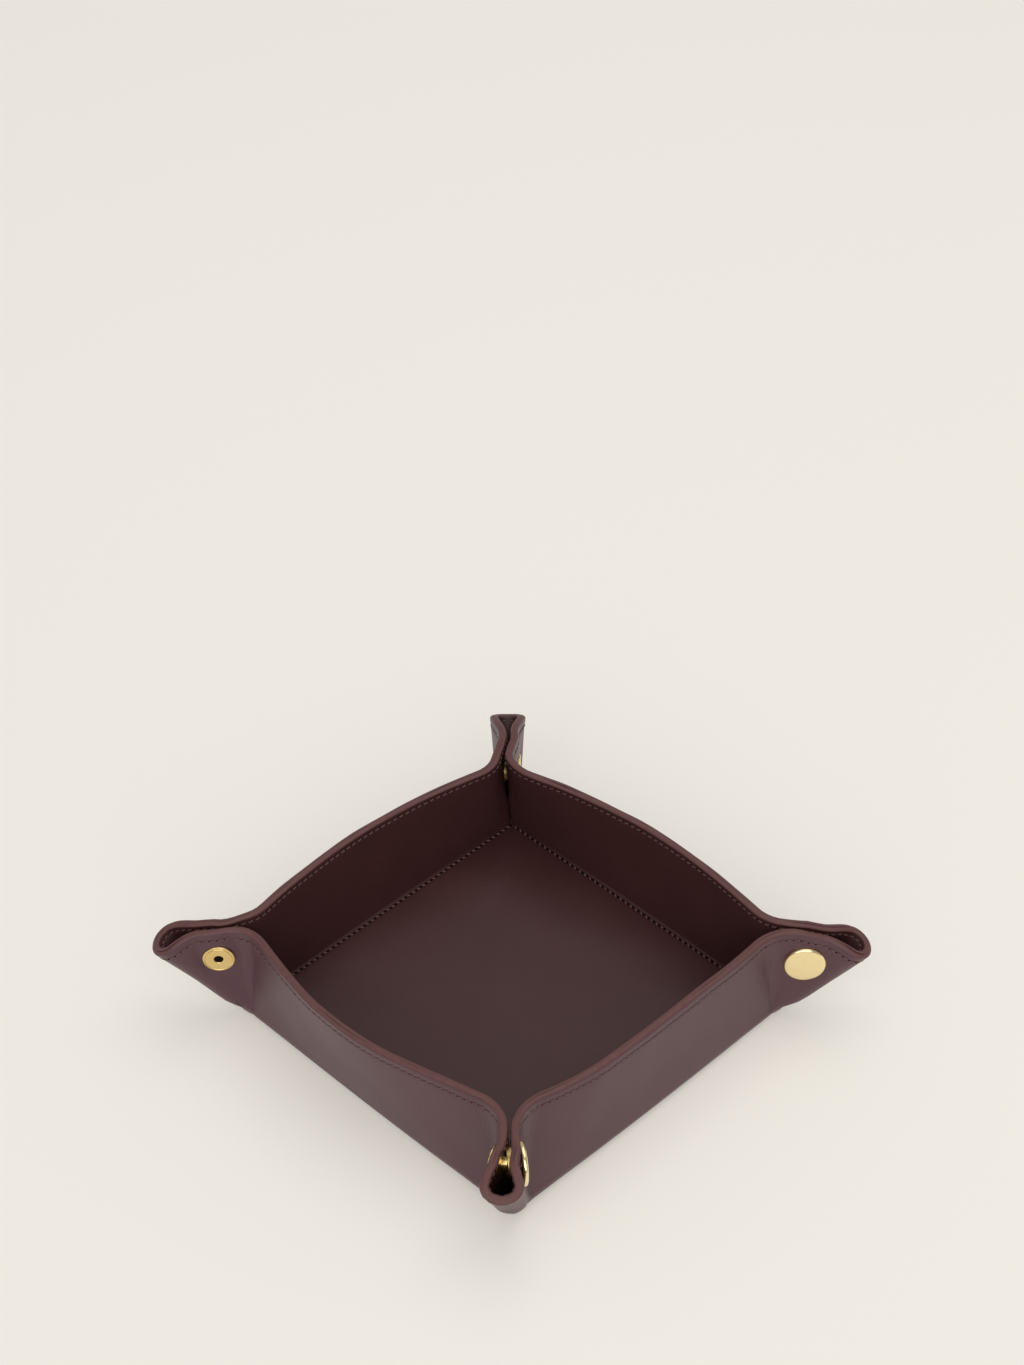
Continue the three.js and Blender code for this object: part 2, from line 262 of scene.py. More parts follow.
def plan(corner, z):
    """Arcs of the section at height z, the heading of the flank and the angle where the neck starts."""
    k = z / RIM_Z
    bow = mix(GAP, BOW, k)
    wall_r = INNER_HALF**2 / (2 * (bow + corner.tuck * k))
    wall_y = INNER_HALF + bow - wall_r
    neck_r = mix(NECK_FOOT, NECK_R, k**NECK_SWELL)
    side = mix(PINCH_FOOT, PINCH, k) + neck_r
    half = wall_y / ROOT2
    rest = side**2 - 2 * half * side + wall_y**2 - (wall_r + neck_r) ** 2
    neck_u = half + np.sqrt(half**2 - rest)
    neck = ((neck_u - side) / ROOT2, (neck_u + side) / ROOT2)
    loop_r = mix(LOOP_FOOT, corner.loop_r, (z / TIP_Z) ** corner.taper)
    loop_u = CORNER_U + (z - ROOT_Z) * FOLD_RUN - loop_r
    loop_v = mix(2 * GAP, GAP / 2, z / TIP_Z)
    loop = ((loop_u - loop_v) / ROOT2, (loop_u + loop_v) / ROOT2)
    apart = np.hypot(loop_u - neck_u, side - loop_v)
    lean = np.arcsin(np.minimum(1, (neck_r + loop_r) / apart))
    heading = math.pi / 4 + np.arctan2(loop_v - side, loop_u - neck_u) + lean
    start = -np.arctan2(neck[0], neck[1] - wall_y)
    return wall_r, wall_y, neck_r, neck, loop_r, loop, loop_v, heading, start


def plan_point(corner, run, f, z):
    wall_r, wall_y, neck_r, neck, loop_r, loop, loop_v, heading, start = plan(corner, z)
    if run == WALL:
        a = -start * f
        return wall_r * np.sin(a), wall_y + wall_r * np.cos(a)
    if run == NECK:
        a = mix(start, heading, f)
        return neck[0] + neck_r * np.sin(a), neck[1] - neck_r * np.cos(a)
    if run == LOOP:
        a = mix(heading, -math.pi / 4, f)
        x, y = loop[0] - loop_r * np.sin(a), loop[1] + loop_r * np.cos(a)
        close = loop_v * smooth(f) / ROOT2
        return x + close, y - close
    # The two flanks of an ear touch near the rim and part in the shape of a drop towards the loop.
    s, c = np.sin(heading), np.cos(heading)
    first = (neck[0] + neck_r * s, neck[1] - neck_r * c)
    last = (loop[0] - loop_r * s, loop[1] + loop_r * c)
    x, y = mix(first[0], last[0], f), mix(first[1], last[1], f)
    span = 1 - DROP_FROM
    t = np.clip((f - DROP_FROM) / span, 0, 1)
    drop = t * t * (3 - span - (2 - span) * t)
    held = (f - drop) * FLANK_HOLD * smooth(z, *HOLD_Z)
    part = ((last[1] - last[0]) - (first[1] - first[0])) / 2 * held
    return x + part, y - part


def from_stud(corner, u, z):
    return np.hypot(u - SNAP_U - corner.stud_out, z - SNAP_Z - corner.stud_up)


def lining(corner, run, f, z):
    """Point of the lining's face, drawn in to the seat of the stud near it."""
    u, v = to_diagonal(*plan_point(corner, run, f, z))
    near = 1 - smooth(from_stud(corner, u, z), DENT_R, DENT_R + DENT_FADE)
    if run == LOOP:
        near = near * (1 - smooth(f))
    seat = corner.half_gap + corner.opening * (u - SNAP_U - corner.stud_out)
    return from_diagonal(u, mix(v, np.maximum(seat, FLANK_GAP), near), z)


def sheet_frame(corner, run, f, z):
    """Lining point, outward normal and upward tangent at heights z."""
    along = lining(corner, run, f + NUDGE, z) - lining(corner, run, f - NUDGE, z)
    up = lining(corner, run, f, z + NUDGE) - lining(corner, run, f, z - NUDGE)
    return lining(corner, run, f, z), unit(np.cross(up, along)), unit(up)


def pinched(corner, points):
    """The lining of both sides meets in a crease above the corner of the base, except round the stud."""
    u, v = to_diagonal(points[:, 0], points[:, 1])
    z = points[:, 2]
    w = smooth(u, *CREASE_IN) * (1 - smooth(u, *CREASE_OUT)) * (1 - smooth(z, *CREASE_Z))
    w = w * smooth(from_stud(corner, u, z), *STUD_CLEAR)
    return from_diagonal(u, mix(v, CREASE_V, w), z)


def fold_thickness(run, f, z):
    """Thickness of both layers: they are pared thinner at the foot of the ear's fold."""
    share = {WALL: 0.0, NECK: 0.0, FLANK: float(smooth(f)), LOOP: 1.0}[run]
    return WALL_T - share * (WALL_T - FOLD_T) * (1 - smooth(z, *PARE_Z))


def ear_of(run, f):
    """Share of the way from the crease to the tip, or None on the wall."""
    if run == FLANK:
        return mix(NECK_SHARE, NECK_SHARE + FLANK_SHARE, f)
    if run == LOOP:
        return mix(NECK_SHARE + FLANK_SHARE, 1, f)
    if run == NECK and f > CREASE:
        return NECK_SHARE * (f - CREASE) / (1 - CREASE)
    return None


def rim_z(run, f):
    """Height of the cut edge: on the ear it keeps its reach from the foot of the crease."""
    ear = ear_of(run, f)
    if ear is None:
        return RIM_Z
    reach = mix(RIM_Z - ROOT_Z, EAR_REACH, smooth(ear))
    low, high = FOOT_Z, RIM_Z
    for _ in range(HALVINGS):
        z = (low + high) / 2
        x, y = plan_point(DRAWN, run, f, z)
        cx, cy = plan_point(DRAWN, NECK, CREASE, z)
        if math.sqrt((x - cx) ** 2 + (y - cy) ** 2 + (z - ROOT_Z) ** 2) < reach:
            low = z
        else:
            high = z
    return (low + high) / 2


# Stations along the half wall, and the index where each run starts.
STEPS = {WALL: 30, NECK: 8, FLANK: 14, LOOP: 14}
NECK_AT = STEPS[WALL]
FLANK_AT = NECK_AT + STEPS[NECK]
LOOP_AT = FLANK_AT + STEPS[FLANK]
LAST = LOOP_AT + STEPS[LOOP]
SQUARE_FROM = 22
stations = [(WALL, 0.0)]
stations += [(run, f) for run, count in STEPS.items() for f in fractions(count)[1:]]
tops = [rim_z(run, f) for run, f in stations]

# Rows of a skin from its foot to the crest of its rim. RIM_ROWS are distances from the top, in millimetres,
# close together for the sewn line.
RIM_ROWS = (6.2, 5.0, 4.2, 3.75, 3.4, 3.1, 2.8, 2.45, 2.0, 1.55)
LOW_ROWS = 15
TURN_STEPS = 6
FOOT_STEPS = 3
SQUARE_ROWS = 16
EDGE_STEPS = 5
EDGE_ROWS = EDGE_STEPS + 1
BACK_STEP = 4
FOOT_ROW = {"outer": 1 + TURN_STEPS + FOOT_STEPS, "lining": len(TUCKED)}
SEAM_ROW = {layer: FOOT_ROW[layer] + LOW_ROWS + RIM_ROWS.index(STITCH_IN[layer]) for layer in STITCH_IN}
# The first step of the rounded rim that is painted, counted from the face of each layer.
PAINT_FROM = {"outer": 2, "lining": 1}


def pressed(layer):
    """How far the sewn line presses each row above the foot into the leather."""
    near = [(d - STITCH_IN[layer]) / GROOVE_W for d in RIM_ROWS[1:]]
    return np.array([0.0] * (LOW_ROWS + 1) + [GROOVE * math.exp(-(k**2)) for k in near])[:, None]


def rim_curve(k):
    """Across and up shares of the rounded rim, from its face at k 0 to the crest at k 1."""
    a = k * math.pi / 2
    return 1 - math.cos(a) ** RIM_ROUND if k < 1 else 1.0, math.sin(a) ** RIM_ROUND


SUNK = {layer: pressed(layer) for layer in STITCH_IN}
RIM_CURVE = [rim_curve(k) for k in fractions(EDGE_STEPS)]


def rounded_rim(seat, out, up):
    """Rows of the rim's rounding on the side that out points away from."""
    return [seat + out * HALF_T * (across - 1) + up * CROWN * rise for across, rise in RIM_CURVE]


def turned_under(corner, run, f, ear, inner_x):
    """Rows of the outer layer below the walls: from under the base, round to the side and up."""
    low = np.linspace(LOW_Z, FOOT_Z, FOOT_STEPS + 1)[:-1]
    face, out, up = sheet_frame(corner, run, f, low)
    foot = face + out * fold_thickness(run, f, low)[:, None]
    under = np.array([min(inner_x, UNDER_X), UNDER_Y, 0.0])
    under = under + (np.array([UNDER_X, UNDER_X, 0.0]) - under) * smooth(ear)
    start = foot[0]
    pull = start - up[0] * (LOW_Z * TURN_PULL)
    pull[2] = max(pull[2], TURN_MIN_Z)
    flat_end = under + (start - under) * mix(WALL_FOOT, EAR_FOOT, smooth(ear, 0.0, EAR_FOOT_BY))
    flat_end[2] = 0.0
    turn = [
        (1 - k) ** 2 * start + 2 * k * (1 - k) * pull + k * k * flat_end
        for k in fractions(TURN_STEPS)[1:]
    ]
    return [under, *turn[::-1], *foot]


def half_cell(corner):
    """Skins of both layers over the half wall that ends at a +X corner, row 0 at the foot."""
    skins = {"outer": [], "lining": []}
    for index, ((run, f), top) in enumerate(zip(stations, tops)):
        ear = max(0.0, (index - NECK_AT) / (LAST - NECK_AT))
        rim, out, up = (a[0] for a in sheet_frame(corner, run, f, np.array([top])))
        seat = rim + out * HALF_T - up * CROWN
        heights = [mix(FOOT_Z, top - RIM_ROWS[0] * up[2], k) for k in fractions(LOW_ROWS)]
        heights += [top - d * up[2] for d in RIM_ROWS[1:]]
        z = np.array(heights)
        face, normal, _ = sheet_frame(corner, run, f, z)
        outer = face + normal * (fold_thickness(run, f, z)[:, None] - SUNK["outer"])
        foot = turned_under(corner, run, f, ear, face[0][0])
        skin = np.array([*foot, *outer, *rounded_rim(seat, -out, up)])
        skin[:, 2] = np.maximum(skin[:, 2], TABLE_GAP)
        skins["outer"].append(skin)
        inner = pinched(corner, face + normal * SUNK["lining"])
        tuck = 1 - smooth(ear, 0.0, TUCKED_BY)
        tucked = [
            inner[0] - normal[0] * inwards * tuck + np.array([0, 0, -down])
            for inwards, down in TUCKED
        ]
        skins["lining"].append([*tucked, *inner, *rounded_rim(seat, out, up)])
    return {layer: np.array(rows) for layer, rows in skins.items()}


def squared_foot(skin):
    """Keeps the low rows of the outer layer full at the corner of the base, below the rising ear."""
    for row in range(1, SQUARE_ROWS):
        line = skin[SQUARE_FROM:, row]
        along = np.concatenate([[0], np.cumsum(np.linalg.norm(np.diff(line[:, :2], axis=0), axis=-1))])
        x0, y0 = line[0, :2]
        straight, bend = y0 - FOOT_ROUND - x0, FOOT_ROUND * math.pi / 4
        way = along / along[-1] * (straight + bend)
        a = np.maximum(way - straight, 0) / FOOT_ROUND
        x = x0 + np.minimum(way, straight) + FOOT_ROUND * np.sin(a)
        y = y0 - FOOT_ROUND * (1 - np.cos(a))
        share = 1 - smooth(line[:, 2], *SQUARE_Z)
        line[:, 0] = mix(line[:, 0], x, share)
        line[:, 1] = mix(line[:, 1], y, share)


half_skins = {name: half_cell(corner) for name, corner in CORNERS.items()}
for skins in half_skins.values():
    squared_foot(skins["outer"])

# Slow waves of the leather: direction and frequency, phase, and size in millimetres.
WAVES = [
    ((0.19, 0.07, 0.11), 0.4, 0.09),
    ((-0.06, 0.17, 0.09), 1.9, 0.09),
    ((0.11, -0.13, 0.21), 3.1, 0.06),
    ((0.31, 0.23, -0.16), 5.2, 0.035),
    ((-0.27, 0.35, 0.12), 0.8, 0.03),
]
RIPPLE_FADE = np.linspace(0.15, 0.9, 5)


def ripple(points):
    """Slow unevenness of hand-folded leather, in millimetres."""
    total = np.zeros(points.shape[:-1])
    for k, phase, size in WAVES:
        total += size * np.sin(points @ np.array(k) + phase)
    return total


# How the photographed tray has settled, in millimetres: the shift of the rim at each corner along X and Y,
# where along each wall its lean is greatest and how far it leans out there, how far the foot of a wall is
# spread, and for each ear where along the diagonal its bend starts, the reach of its tip along the diagonal,
# its shift to the left, its rise, and how far its middle is arched up.
RIM_SHIFT = {"ne": (-4.9, -0.7), "nw": (1.6, 1.7), "sw": (1.9, 3.1), "se": (-0.5, 0.7)}
WALL_LEAN = {"n": (-12.0, 0.9), "w": (10.0, 4.2), "s": (-8.0, -3.0), "e": (5.0, 1.6)}
FOOT_OUT = {"s": 0.5, "w": 0.4}
EAR_SET = {
    "ne": (80, -0.6, 1.4, 0.0, 0.0),
    "nw": (92, 2.2, 0.0, 0.8, 1.3),
    "sw": (85, -4.0, 3.4, 3.2, 0.0),
    "se": (92, 2.0, 0.0, -0.5, -0.6),
}
LEFTWARD = np.array([-1.0, 1.0, 0.0]) / ROOT2
OVER_RIM = 1.1
LEAN_SPAN = 56
WALL_FACE = (48.0, 58.0)
FOOT_FACE = (60.5, 64.5)
FOOT_FADE = (4.0, 22.0)
EAR_FROM = (88.0, 98.0)
EAR_BEND = 27
OFF_TABLE = 10
ARCH_FROM = 90
ARCH_SPAN = 29


def settle(points):
    """Moves points of the leather the way the tray in the photo has settled."""
    points = np.array(points, float)
    moved = points.copy()
    x, y, z = points[..., 0], points[..., 1], points[..., 2]
    height = np.clip((z - FOOT_Z) / (RIM_Z - FOOT_Z), 0, OVER_RIM)
    off_table = np.clip(z / OFF_TABLE, 0, 1)
    ear = smooth(np.maximum(np.abs(x + y), np.abs(x - y)) / ROOT2, *EAR_FROM)
    for wall, (centre, lean) in WALL_LEAN.items():
        ox, oy = WALL_WAY[wall]
        along = x * oy - y * ox - centre
        bump = np.where(np.abs(along) < LEAN_SPAN, np.cos(along / LEAN_SPAN * math.pi / 2) ** 2, 0)
        share = lean * bump * height * smooth(x * ox + y * oy, *WALL_FACE)
        moved += share[..., None] * np.array([ox, oy, 0.0])
    for wall, spread in FOOT_OUT.items():
        ox, oy = WALL_WAY[wall]
        share = spread * smooth(x * ox + y * oy, *FOOT_FACE) * (1 - smooth(z, *FOOT_FADE))
        moved += share[..., None] * np.array([ox, oy, 0.0])
    for corner, (right, back) in RIM_SHIFT.items():
        dx, dy = CORNER_WAY[corner]
        near_x = np.clip((1 + x * dx / INNER_HALF) / 2, 0, 1)
        near_y = np.clip((1 + y * dy / INNER_HALF) / 2, 0, 1)
        share = near_x * near_y * height * (1 - ear)
        moved += share[..., None] * np.array([right, back, 0.0])
    for corner, (start, reach, left, rise, arch) in EAR_SET.items():
        way = np.array([*CORNER_WAY[corner], 0.0]) / ROOT2
        out = points @ way
        share = (smooth(out, start, start + EAR_BEND) * off_table)[..., None]
        moved += share * (way * reach + LEFTWARD * left + np.array([0.0, 0.0, rise]))
        middle = np.sin(np.clip((out - ARCH_FROM) / ARCH_SPAN, 0, 1) * math.pi) ** 2
        moved[..., 2] += arch * middle * off_table
    return moved


def skin_normals(skin):
    return np.cross(np.gradient(skin, axis=1), np.gradient(skin, axis=0))


def side_skin(layer, side):
    """One whole side of the tray, from diagonal to diagonal, with its normals."""
    low, high = half_skins[side.low][layer], half_skins[side.high][layer]
    whole = settle(turn_z(np.concatenate([mirrored(low[:0:-1]), high]), side.degrees))
    facing = 1 if layer == "outer" else -1
    normal = unit(skin_normals(whole) * facing)
    fade = np.ones(whole.shape[1])
    above = FOOT_ROW[layer] + 1
    fade[:above] = 0
    fade[above : above + len(RIPPLE_FADE)] = RIPPLE_FADE
    push = ripple(whole) * fade[None, :] * facing
    moved = whole + normal * push[..., None]
    fresh = unit(skin_normals(moved))
    fresh *= np.sign((fresh * normal).sum(-1, keepdims=True) + TINY)
    # On the diagonal the two sides of an ear shade as one skin: what points across it is taken out.
    for end, x_way in ((0, 1), (-1, -1)):
        across = turn_z(np.array([x_way, 1, 0.0]) / ROOT2, side.degrees)
        kept = fresh[end] - (fresh[end] @ across)[:, None] * across
        fresh[end] = unit(kept)
    return moved, fresh


def flat_coordinates(skin):
    """Where each point lies on the leather before it is folded, in millimetres."""
    steps = np.linalg.norm(np.diff(skin[:, skin.shape[1] // 2], axis=0), axis=-1)
    along = np.concatenate([[0], np.cumsum(steps)])
    rows = np.linalg.norm(np.diff(skin[skin.shape[0] // 2], axis=0), axis=-1)
    up = np.concatenate([[0], np.cumsum(rows)])
    return np.stack(np.meshgrid(along, up, indexing="ij"), axis=-1)


# Meshes


def mesh_object(name, points, faces, materials, face_material=None):
    mesh = bpy.data.meshes.new(name)
    mesh.from_pydata([tuple(p) for p in np.array(points) * MM], [], faces)
    for material in materials:
        mesh.materials.append(material)
    if face_material is not None:
        mesh.polygons.foreach_set("material_index", np.array(face_material, np.int32))
    mesh.polygons.foreach_set("use_smooth", np.ones(len(mesh.polygons), bool))
    mesh.update()
    obj = bpy.data.objects.new(name, mesh)
    bpy.context.scene.collection.objects.link(obj)
    return obj


def outward(points, faces):
    """The faces of a closed mesh, turned round if they face inwards."""
    p = np.array(points)
    fans = np.array([(f[0], f[i], f[i + 1]) for f in faces for i in range(1, len(f) - 1)])
    a, b, c = (p[fans[:, i]] for i in range(3))
    inside_out = (a * np.cross(b, c)).sum() < 0
    return [f[::-1] for f in faces] if inside_out else faces


def tube_faces(rings, count):
    """Faces of rings of count points each, closed flat at both ends."""
    faces = []
    for k in range(rings - 1):
        for i in range(count):
            j = (i + 1) % count
            faces.append((k * count + i, k * count + j, (k + 1) * count + j, (k + 1) * count + i))
    faces.append(tuple(range(count))[::-1])
    faces.append(tuple(range((rings - 1) * count, rings * count)))
    return faces


def write_flat(obj, flats):
    """Keeps where each point lies on the flat leather, in metres, for the grain."""
    place = obj.data.attributes.new("flat", "FLOAT_VECTOR", "POINT")
    place.data.foreach_set("vector", flats.astype(np.float32).ravel())


def write_level_flat(obj, grain):
    """The same for a piece that lies level in the tray."""
    flats = np.array([v.co for v in obj.data.vertices])
    flats[:, 2] = grain
    write_flat(obj, flats)


def leather_piece(name, skin, normals, flat, worn, layer, grain):
    """Closed strip of one layer: its shown skin, and a plain face against the other layer."""
    count, rows = skin.shape[:2]
    depth = HALF_T - GLUE
    foot = FOOT_ROW[layer]
    foot_depth = depth if layer == "outer" else FOOT_SKIVE
    back_rows = [*range(rows - EDGE_ROWS, foot + 2, -BACK_STEP), foot]
    loops, loop_normals, loop_flat = [], [], []
    for s in range(count):
        back = [skin[s, r] - normals[s, r] * (foot_depth if r == foot else depth) for r in back_rows]
        if layer == "outer":
            back.append(skin[s, 0] + np.array([0, 0, LEATHER]))
        else:
            back.append(skin[s, 0] - normals[s, foot + 2] * foot_depth)
        loops.append(np.concatenate([skin[s], back]))
        loop_normals.append(np.concatenate([normals[s], -normals[s, back_rows], -normals[s, :1]]))
        loop_flat.append(np.concatenate([flat[s], flat[s, back_rows], flat[s, :1]]))
    around = len(loops[0])
    points = np.concatenate(loops)
    painted = range(rows - EDGE_ROWS + PAINT_FROM[layer], rows - 1)
    faces, kinds = [], []
    for s in range(count - 1):
        for k in range(around):
            j = (k + 1) % around
            faces.append((s * around + k, (s + 1) * around + k, (s + 1) * around + j, s * around + j))
            kinds.append(1 if k in painted else 0)
    faces.append(tuple(range(around)))
    faces.append(tuple(range((count - 1) * around, count * around))[::-1])
    kinds += [0, 0]
    obj = mesh_object(name, points, outward(points, faces), [LEATHERS[layer], EDGE_PAINT], kinds)
    flats = np.concatenate(loop_flat) * MM
    write_flat(obj, np.concatenate([flats, np.full((len(flats), 1), grain)], axis=1))
    creased = obj.data.attributes.new("worn", "FLOAT", "POINT")
    creased.data.foreach_set("value", np.repeat(worn, around).astype(np.float32))
    obj.data.normals_split_custom_set_from_vertices(np.concatenate(loop_normals))
    return obj


# Materials


def node_tree(name):
    material = bpy.data.materials.new(name)
    material.use_nodes = True
    tree = material.node_tree
    return material, tree, tree.nodes["Principled BSDF"]


def add(tree, kind, **values):
    node = tree.nodes.new(kind)
    for key, value in values.items():
        if hasattr(node, key) and key not in node.inputs:
            setattr(node, key, value)
        else:
            node.inputs[key].default_value = value
    return node


def ramp(tree, source, low, high):
    node = tree.nodes.new("ShaderNodeValToRGB")
    node.color_ramp.elements[0].color = (*low, 1)
    node.color_ramp.elements[1].color = (*high, 1)
    tree.links.new(source, node.inputs["Fac"])
    return node.outputs["Color"]


def scaled(tree, source, low, high):
    node = tree.nodes.new("ShaderNodeMapRange")
    node.inputs["To Min"].default_value = low
    node.inputs["To Max"].default_value = high
    tree.links.new(source, node.inputs["Value"])
    return node.outputs["Result"]


def flat_place(tree):
    return add(tree, "ShaderNodeAttribute", attribute_name="flat").outputs["Vector"]


def own_place(tree):
    return add(tree, "ShaderNodeTexCoord").outputs["Object"]


def noise_at(tree, place, **values):
    noise = add(tree, "ShaderNodeTexNoise", **values)
    tree.links.new(place, noise.inputs["Vector"])
    return noise.outputs["Fac"]


def bump_of(tree, shader, height, strength, distance):
    bump = add(tree, "ShaderNodeBump", Strength=strength, Distance=distance)
    tree.links.new(height, bump.inputs["Height"])
    tree.links.new(bump.outputs["Normal"], shader.inputs["Normal"])


def leather_material(name, dark, light, rough, gloss):
    """Cloudy colour, fine pores, and creases across the strip where the leather is worn by the fold."""
    material, tree, shader = node_tree(name)
    link = tree.links.new
    place = flat_place(tree)
    cloud = noise_at(tree, place, Scale=55.0, Detail=4.0, Roughness=0.55)
    link(ramp(tree, cloud, dark, light), shader.inputs["Base Color"])
    link(scaled(tree, cloud, rough - 0.06, rough + 0.06), shader.inputs["Roughness"])
    pores = add(tree, "ShaderNodeTexVoronoi", Scale=1500.0)
    link(place, pores.inputs["Vector"])
    pull = add(tree, "ShaderNodeMapping", Scale=(900.0, 160.0, 1.0))
    link(place, pull.inputs["Vector"])
    drag = noise_at(tree, pull.outputs["Vector"], Scale=1.0, Detail=3.0)
    fine = add(tree, "ShaderNodeBump", Strength=0.12, Distance=0.0002)
    link(pores.outputs["Distance"], fine.inputs["Height"])
    broad = add(tree, "ShaderNodeBump", Distance=0.0004)
    worn = add(tree, "ShaderNodeAttribute", attribute_name="worn")
    link(scaled(tree, worn.outputs["Fac"], 0.10, 0.60), broad.inputs["Strength"])
    link(drag, broad.inputs["Height"])
    link(fine.outputs["Normal"], broad.inputs["Normal"])
    link(broad.outputs["Normal"], shader.inputs["Normal"])
    shader.inputs["Specular IOR Level"].default_value = gloss
    return material


def edge_material():
    material, tree, shader = node_tree("edge_paint")
    noise = noise_at(tree, flat_place(tree), Scale=420.0, Detail=4.0)
    colour = ramp(tree, noise, (0.110, 0.046, 0.045), (0.158, 0.070, 0.066))
    tree.links.new(colour, shader.inputs["Base Color"])
    bump_of(tree, shader, noise, strength=0.15, distance=0.0002)
    shader.inputs["Roughness"].default_value = 0.5
    shader.inputs["Specular IOR Level"].default_value = 0.3
    return material


def metal_material(name, dark, light, rough):
    material, tree, shader = node_tree(name)
    noise = noise_at(tree, own_place(tree), Scale=260.0, Detail=3.0)
    tree.links.new(ramp(tree, noise, dark, light), shader.inputs["Base Color"])
    tree.links.new(scaled(tree, noise, rough - 0.04, rough + 0.05), shader.inputs["Roughness"])
    shader.inputs["Metallic"].default_value = 1.0
    return material


def thread_material():
    material, tree, shader = node_tree("thread")
    noise = noise_at(tree, own_place(tree), Scale=2600.0, Detail=2.0)
    colour = ramp(tree, noise, (0.085, 0.040, 0.035), (0.165, 0.084, 0.072))
    tree.links.new(colour, shader.inputs["Base Color"])
    bump_of(tree, shader, noise, strength=0.5, distance=0.0002)
    shader.inputs["Roughness"].default_value = 0.6
    return material


# Near-black painted shade for the inside of needle holes and for the bottom of a stud post's bore.
def hole_shade_material():
    material, tree, shader = node_tree("needle_hole_shade")
    noise = noise_at(tree, own_place(tree), Scale=900.0, Detail=2.0)
    colour = ramp(tree, noise, (0.006, 0.0025, 0.0025), (0.012, 0.005, 0.005))
    tree.links.new(colour, shader.inputs["Base Color"])
    shader.inputs["Roughness"].default_value = 0.9
    shader.inputs["Specular IOR Level"].default_value = 0.05
    return material


def board_material():
    material, tree, shader = node_tree("fibre_board")
    noise = noise_at(tree, own_place(tree), Scale=300.0, Detail=5.0)
    colour = ramp(tree, noise, (0.10, 0.075, 0.05), (0.19, 0.14, 0.10))
    tree.links.new(colour, shader.inputs["Base Color"])
    shader.inputs["Roughness"].default_value = 0.9
    return material


def floor_material():
    """Pale studio floor that glows a little, so that the shadows on it stay soft."""
    material, tree, shader = node_tree("studio_floor")
    noise = noise_at(tree, own_place(tree), Scale=1.2, Detail=1.0)
    colour = ramp(tree, noise, (0.688, 0.664, 0.614), (0.708, 0.683, 0.634))
    tree.links.new(colour, shader.inputs["Base Color"])
    tree.links.new(colour, shader.inputs["Emission Color"])
    shader.inputs["Emission Strength"].default_value = FLOOR_GLOW
    shader.inputs["Roughness"].default_value = 0.9
    shader.inputs["Specular IOR Level"].default_value = 0.1
    return material


LEATHERS = {
    "outer": leather_material(
        "leather_outer", (0.072, 0.0250, 0.0340), (0.097, 0.0365, 0.0490), rough=0.40, gloss=0.54
    ),
    "lining": leather_material(
        "leather_lining", (0.050, 0.0165, 0.0171), (0.068, 0.0232, 0.0240), rough=0.45, gloss=0.38
    ),
}
EDGE_PAINT = edge_material()
GOLD = metal_material("cap_gold", (0.92, 0.74, 0.40), (1.0, 0.84, 0.50), rough=0.16)
BRASS = metal_material("stud_brass", (0.72, 0.52, 0.20), (0.86, 0.66, 0.30), rough=0.26)
THREAD = thread_material()
# The needle holes' dark is painted shade.
HOLE_SHADE = hole_shade_material()

# Stitches. A thread's rings run along it: place, thickness and lift as shares of its length and radius.
# A needle hole is a near-black bead of painted shade; its rings are its radius as a share and its lift in
# millimetres.
THREAD_RINGS = (
    (-0.5, 0.35, -0.55), (-0.44, 0.8, -0.12), (-0.25, 1.0, 0.25), (0.0, 1.0, 0.36),
    (0.25, 1.0, 0.25), (0.44, 0.8, -0.12), (0.5, 0.35, -0.55),
)
THREAD_FLAT = 0.85
HOLE_RINGS = ((0.8, -0.15), (1.0, 0.02), (0.6, 0.06))
HOLE_DEPTH = 0.3
HOLE_TOP = 0.07
HOLE_LONG = 1.35
HOLE_AT = 0.95
BEAD_SIDES = 6
BEAD_ANGLES = [i * 2 * math.pi / BEAD_SIDES for i in range(BEAD_SIDES)]


def thread_stitch(centre, along, normal, length, radius, tilt):
    """A flattened thread stitch, lying along the seam and slightly turned on the leather."""
    side = np.cross(normal, along)
    along = unit(along * math.cos(tilt) + side * math.sin(tilt))
    side = np.cross(normal, along)
    points = [
        centre + along * (t * length)
        + side * (math.cos(a) * radius * r)
        + normal * (math.sin(a) * radius * r * THREAD_FLAT + lift * radius)
        for t, r, lift in THREAD_RINGS
        for a in BEAD_ANGLES
    ]
    return points, tube_faces(len(THREAD_RINGS), BEAD_SIDES)


def needle_hole_shade(centre, along, normal, radius):
    """The pit at the end of a stitch: a flat bead of near-black painted shade that barely shows above the
    leather.
    """
    side = np.cross(normal, along)
    points = [centre - normal * HOLE_DEPTH]
    for r, lift in HOLE_RINGS:
        for a in BEAD_ANGLES:
            across = along * math.cos(a) * HOLE_LONG + side * math.sin(a)
            points.append(centre + across * radius * r + normal * lift)
    points.append(centre + normal * HOLE_TOP)
    rings = [[1 + k * BEAD_SIDES + i for i in range(BEAD_SIDES)] for k in range(len(HOLE_RINGS))]
    faces = []
    for i in range(BEAD_SIDES):
        j = (i + 1) % BEAD_SIDES
        faces.append((0, rings[0][j], rings[0][i]))
        faces += [(low[i], low[j], high[j], high[i]) for low, high in zip(rings, rings[1:])]
        faces.append((rings[-1][i], rings[-1][j], len(points) - 1))
    return points, faces


def stitch_object(name, stitches):
    points, faces, kinds = [], [], []
    for centre, along, normal, length, tilt, hole in stitches:
        end = centre + along * (length / 2 + hole * HOLE_AT)
        thread = thread_stitch(centre, along, normal, length, THREAD_R, tilt)
        for kind, (p, f) in enumerate((thread, needle_hole_shade(end, along, normal, hole))):
            base = len(points)
            points += p
            faces += [tuple(i + base for i in face) for face in outward(p, f)]
            kinds += [kind] * len(f)
    # The second material is the painted shade of the needle holes.
    return mesh_object(name, points, faces, [THREAD, HOLE_SHADE], kinds)


